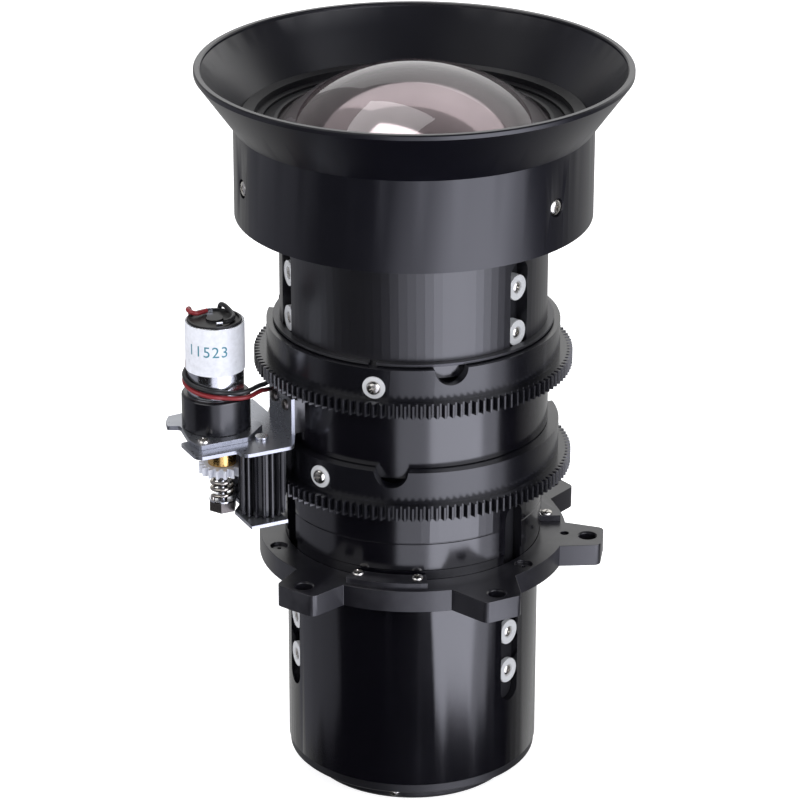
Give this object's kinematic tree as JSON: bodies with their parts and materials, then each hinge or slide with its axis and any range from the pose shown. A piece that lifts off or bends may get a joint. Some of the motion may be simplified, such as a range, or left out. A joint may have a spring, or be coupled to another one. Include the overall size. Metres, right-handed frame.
{
  "type": "projection lens",
  "caption": "Motorised projector zoom lens: flared hood, slotted barrel, two toothed rings, an eared mount flange and a gear motor that turns the lower ring through a slip clutch",
  "frame": {"origin": "on the lens axis, at the rear seating face of the mount flange", "axes": "+Z along the lens axis towards the hood; +X right and -Y towards the viewer of the picture"},
  "size_m": [0.1487, 0.139, 0.2429],
  "materials": {
    "barrel_black": "black anodised, satin",
    "flange_black": "black anodised, satin",
    "hood_black": "fine satin black",
    "gear_black": "satin moulded plastic",
    "cell_black": "matt black anodised",
    "ring_steel": "blackened spring steel",
    "cam_metal": "grey anodised",
    "lens_glass": "coated and polished",
    "roller_white": "natural acetal",
    "screw_steel": "nickel plated",
    "sheet_steel": "zinc plated sheet",
    "motor_steel": "plated steel",
    "wrap_white": "white film",
    "gear_white": "natural acetal",
    "bush_brass": "turned",
    "spring_steel": "drawn wire",
    "dark_steel": "black oxide",
    "lead_red": "soft insulation",
    "lead_black": "soft insulation",
    "plug_white": "nylon"
  },
  "bodies": {
    "lens_body": {"main_barrel": "barrel_black", "mount_flange": "flange_black", "flange_arc_plates": "flange_black", "arc_plate_screws": "screw_steel", "hood": "hood_black", "hood_screws": "screw_steel", "front_cell": "cell_black", "front_glass": "lens_glass", "front_retainer": "cell_black", "second_glass": "lens_glass", "zoom_ring_retainer": "ring_steel", "focus_ring_retainer": "ring_steel", "middle_cell": "cell_black", "middle_glass": "lens_glass", "rear_cell": "cell_black", "rear_cell_screws": "screw_steel", "rear_glass": "lens_glass", "motor_bracket": "sheet_steel", "bracket_screws": "dark_steel", "motor_plate": "sheet_steel", "motor_plate_screws": "screw_steel", "gearbox": "gear_black", "motor_can": "motor_steel", "motor_wrap": "wrap_white", "motor_cap": "gear_black", "motor_terminals": "motor_steel", "idler_pin": "motor_steel", "idler_clip": "dark_steel", "clutch_bush": "bush_brass", "motor_lead_red": "lead_red", "motor_lead_black": "lead_black", "lead_plug": "plug_white", "lead_clip": "gear_black"},
    "zoom_drive": {"zoom_ring": "gear_black", "zoom_cam_tube": "cam_metal", "zoom_ring_screws": "screw_steel", "zoom_ring_washers": "roller_white"},
    "zoom_group": {"zoom_carrier": "cam_metal", "zoom_rollers": "roller_white", "zoom_roller_screws": "screw_steel", "zoom_glass_front": "lens_glass", "zoom_glass_rear": "lens_glass"},
    "focus_drive": {"focus_ring": "gear_black", "focus_cam_tube": "cam_metal", "focus_ring_screws": "screw_steel", "focus_ring_washers": "roller_white"},
    "focus_group": {"focus_carrier": "cam_metal", "focus_rollers": "roller_white", "focus_roller_screws": "screw_steel", "focus_glass_front": "lens_glass", "focus_glass_rear": "lens_glass"},
    "idler": {"idler_pinion": "gear_black"},
    "clutch": {"output_shaft": "motor_steel", "clutch_gear": "gear_white", "clutch_spring": "spring_steel", "clutch_washer": "motor_steel", "clutch_nut": "dark_steel"}
  },
  "joints": [
    {"name": "zoom_turn", "type": "hinge", "parent": "lens_body", "child": "zoom_drive", "pos_m": [0, 0, 0.0745], "axis": [0, 0, 1], "range_deg": [-30, 30]},
    {"name": "zoom_slide", "type": "slide", "parent": "lens_body", "child": "zoom_group", "axis": [0, 0, 1], "range_m": [-0.00435, 0.00435]},
    {"name": "focus_turn", "type": "hinge", "parent": "lens_body", "child": "focus_drive", "pos_m": [0, 0, 0.0396], "axis": [0, 0, 1], "range_deg": [-15, 45]},
    {"name": "focus_slide", "type": "slide", "parent": "lens_body", "child": "focus_group", "axis": [0, 0, 1], "range_m": [-0.00595, 0.01775]},
    {"name": "idler_turn", "type": "hinge", "parent": "lens_body", "child": "idler", "pos_m": [-0.04811, -0.0317, 0.04], "axis": [0, 0, 1], "range_deg": [-337, 113]},
    {"name": "clutch_turn", "type": "hinge", "parent": "lens_body", "child": "clutch", "pos_m": [-0.0611, -0.0276, 0.04], "axis": [0, 0, 1], "range_deg": [-113, 337]}
  ],
  "couplings": [
    {"joint": "zoom_slide", "follows": "zoom_turn", "m_per_rad": 0.0082124},
    {"joint": "focus_slide", "follows": "focus_turn", "m_per_rad": 0.022536},
    {"joint": "idler_turn", "follows": "focus_turn", "ratio": -7.4706},
    {"joint": "clutch_turn", "follows": "focus_turn", "ratio": 7.4706}
  ]
}
